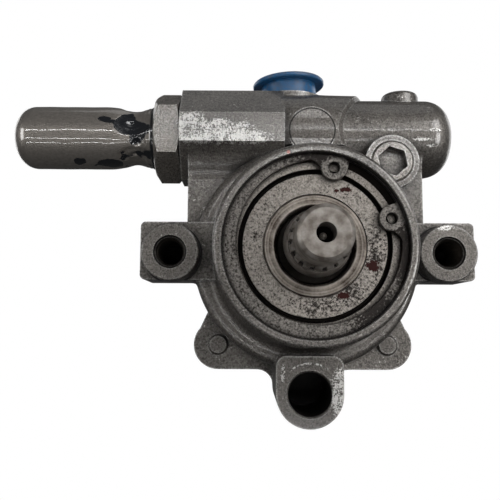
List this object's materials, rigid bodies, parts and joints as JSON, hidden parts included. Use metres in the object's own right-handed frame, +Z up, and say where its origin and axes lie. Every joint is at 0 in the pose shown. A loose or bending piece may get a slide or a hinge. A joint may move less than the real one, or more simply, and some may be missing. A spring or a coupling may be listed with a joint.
{
  "type": "power steering pump",
  "caption": "Vane-type hydraulic power steering pump with a round pilot boss, splined drive shaft, flow valve barrel, capped outlet fitting and plugged inlet.",
  "frame": {"origin": "on the shaft's axis, in the plane of the three mounting pads", "axes": "-Y along the shaft out of the front of the pump, +Z up to the valve barrel, +X to the barrel's closed end"},
  "size_m": [0.1388, 0.107, 0.108],
  "materials": {
    "cast_paint": "cast and sprayed with a dark grey metallic paint",
    "fitting_paint": "machined steel under the same grey paint",
    "bolt_steel": "dark zinc plated",
    "spring_steel": "phosphated spring steel",
    "bearing_steel": "ground",
    "cage_brass": "stamped",
    "bush_bronze": "bored",
    "machined_steel": "machined",
    "seal_rubber": "moulded",
    "cap_vinyl": "glossy black vinyl with flaking grey overspray",
    "plug_plastic": "blue polyethylene with grey overspray"
  },
  "bodies": {
    "pump_body": {"housing": "cast_paint", "rear_cover": "cast_paint", "rear_cover_bolts": "bolt_steel", "cover_o_ring": "seal_rubber", "outlet_fitting": "fitting_paint", "fitting_o_ring": "seal_rubber", "outlet_dust_cap": "cap_vinyl", "inlet_plug": "plug_plastic", "gallery_plug": "fitting_paint", "retaining_ring": "spring_steel", "bearing_outer_race": "bearing_steel", "bearing_front_shield": "bearing_steel", "bearing_rear_shield": "bearing_steel", "seal_case": "machined_steel", "seal_lip": "seal_rubber", "seal_garter_spring": "spring_steel", "cam_ring": "machined_steel", "thrust_plate": "machined_steel", "pressure_plate": "machined_steel", "plate_o_ring": "seal_rubber", "dowel_pins": "machined_steel", "plate_spring": "spring_steel", "shaft_bush": "bush_bronze", "flow_spring": "spring_steel"},
    "shaft_group": {"drive_shaft": "machined_steel", "bearing_inner_race": "bearing_steel", "rotor": "machined_steel", "rotor_clip": "spring_steel"},
    "ball_cage": {"bearing_balls": "bearing_steel", "bearing_cage": "cage_brass"},
    "spool_group": {"flow_spool": "machined_steel", "relief_seat": "cage_brass", "relief_spring": "spring_steel"},
    "relief_ball_body": {"relief_ball": "bearing_steel"},
    "vane_01_body": {"vane_01": "machined_steel"},
    "vane_02_body": {"vane_02": "machined_steel"},
    "vane_03_body": {"vane_03": "machined_steel"},
    "vane_04_body": {"vane_04": "machined_steel"},
    "vane_05_body": {"vane_05": "machined_steel"},
    "vane_06_body": {"vane_06": "machined_steel"},
    "vane_07_body": {"vane_07": "machined_steel"},
    "vane_08_body": {"vane_08": "machined_steel"},
    "vane_09_body": {"vane_09": "machined_steel"},
    "vane_10_body": {"vane_10": "machined_steel"}
  },
  "joints": [
    {"name": "shaft_spin", "type": "hinge", "parent": "pump_body", "child": "shaft_group", "pos_m": [0, 0, 0], "axis": [0, 1, 0], "continuous": true},
    {"name": "cage_spin", "type": "hinge", "parent": "pump_body", "child": "ball_cage", "pos_m": [0, 0, 0], "axis": [0, 1, 0], "continuous": true},
    {"name": "spool_slide", "type": "slide", "parent": "pump_body", "child": "spool_group", "axis": [1, 0, 0], "range_m": [0, 0.008], "stiffness_N_per_m": 4000, "springref_m": -0.01, "deforming": ["flow_spring"]},
    {"name": "relief_ball_lift", "type": "slide", "parent": "spool_group", "child": "relief_ball_body", "axis": [-1, 0, 0], "range_m": [0, 0.001], "stiffness_N_per_m": 8000, "springref_m": -0.003, "deforming": ["relief_spring"]},
    {"name": "vane_01_slide", "type": "slide", "parent": "shaft_group", "child": "vane_01_body", "axis": [0.9511, 0, 0.309], "range_m": [0, 0.00045]},
    {"name": "vane_02_slide", "type": "slide", "parent": "shaft_group", "child": "vane_02_body", "axis": [0.5878, 0, 0.809], "range_m": [0, 0.00045]},
    {"name": "vane_03_slide", "type": "slide", "parent": "shaft_group", "child": "vane_03_body", "axis": [0, 0, 1], "range_m": [0, 0.00045]},
    {"name": "vane_04_slide", "type": "slide", "parent": "shaft_group", "child": "vane_04_body", "axis": [-0.5878, 0, 0.809], "range_m": [0, 0.00045]},
    {"name": "vane_05_slide", "type": "slide", "parent": "shaft_group", "child": "vane_05_body", "axis": [-0.9511, 0, 0.309], "range_m": [0, 0.00045]},
    {"name": "vane_06_slide", "type": "slide", "parent": "shaft_group", "child": "vane_06_body", "axis": [-0.9511, 0, -0.309], "range_m": [0, 0.00045]},
    {"name": "vane_07_slide", "type": "slide", "parent": "shaft_group", "child": "vane_07_body", "axis": [-0.5878, 0, -0.809], "range_m": [0, 0.00045]},
    {"name": "vane_08_slide", "type": "slide", "parent": "shaft_group", "child": "vane_08_body", "axis": [0, 0, -1], "range_m": [0, 0.00045]},
    {"name": "vane_09_slide", "type": "slide", "parent": "shaft_group", "child": "vane_09_body", "axis": [0.5878, 0, -0.809], "range_m": [0, 0.00045]},
    {"name": "vane_10_slide", "type": "slide", "parent": "shaft_group", "child": "vane_10_body", "axis": [0.9511, 0, -0.309], "range_m": [0, 0.00045]}
  ],
  "couplings": [
    {"joint": "cage_spin", "follows": "shaft_spin", "ratio": 0.3821}
  ]
}
